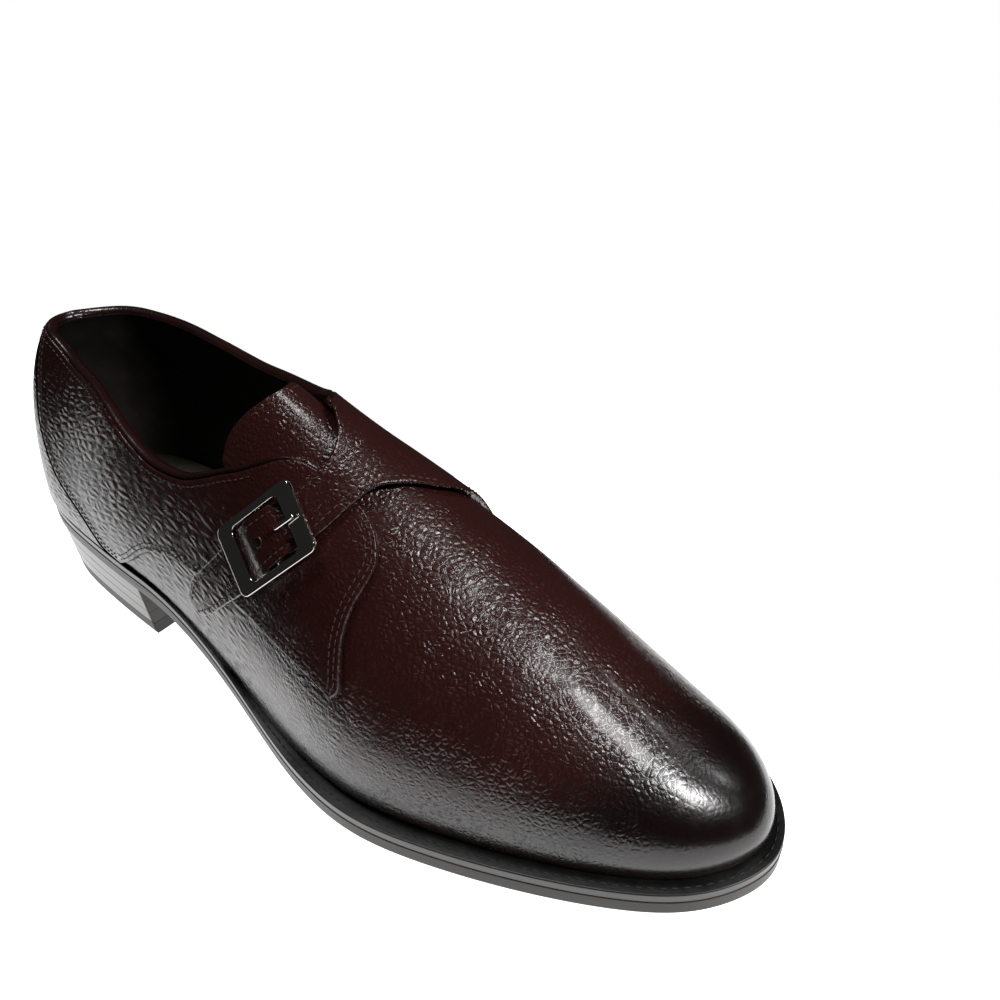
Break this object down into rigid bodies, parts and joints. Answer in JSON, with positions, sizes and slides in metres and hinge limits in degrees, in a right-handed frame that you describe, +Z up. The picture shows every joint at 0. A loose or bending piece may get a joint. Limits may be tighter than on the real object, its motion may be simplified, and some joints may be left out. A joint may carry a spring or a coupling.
{
  "type": "monk strap shoe",
  "caption": "Men's single monk strap dress shoe for the right foot, with a welted leather sole, stacked heel and a strap that buckles on the outer side.",
  "frame": {"origin": "on the ground plane, under the middle of the heel's top lift", "axes": "+X from the heel to the toe, +Y to the medial (inner) side of this right shoe, +Z up"},
  "size_m": [0.3005, 0.1003, 0.1056],
  "materials": {
    "upper_leather": "dark reddish brown pebble-grained calf, polished darker at toe and heel",
    "sock_leather": "matt dark brown lining leather",
    "edge_leather": "black waxed sole edge",
    "buckle_nickel": "polished nickel plate"
  },
  "bodies": {
    "root": {"upper": "upper_leather", "quarter_lateral": "upper_leather", "quarter_medial_strap": "upper_leather", "heel_counter": "upper_leather", "tongue": "upper_leather", "insole": "sock_leather", "welt": "edge_leather", "outsole": "edge_leather", "heel_top_lift": "edge_leather", "heel_lift_1": "edge_leather", "heel_lift_2": "edge_leather", "heel_lift_3": "edge_leather", "buckle_frame": "buckle_nickel", "buckle_centre_bar": "buckle_nickel", "buckle_prong": "buckle_nickel"}
  },
  "joints": []
}
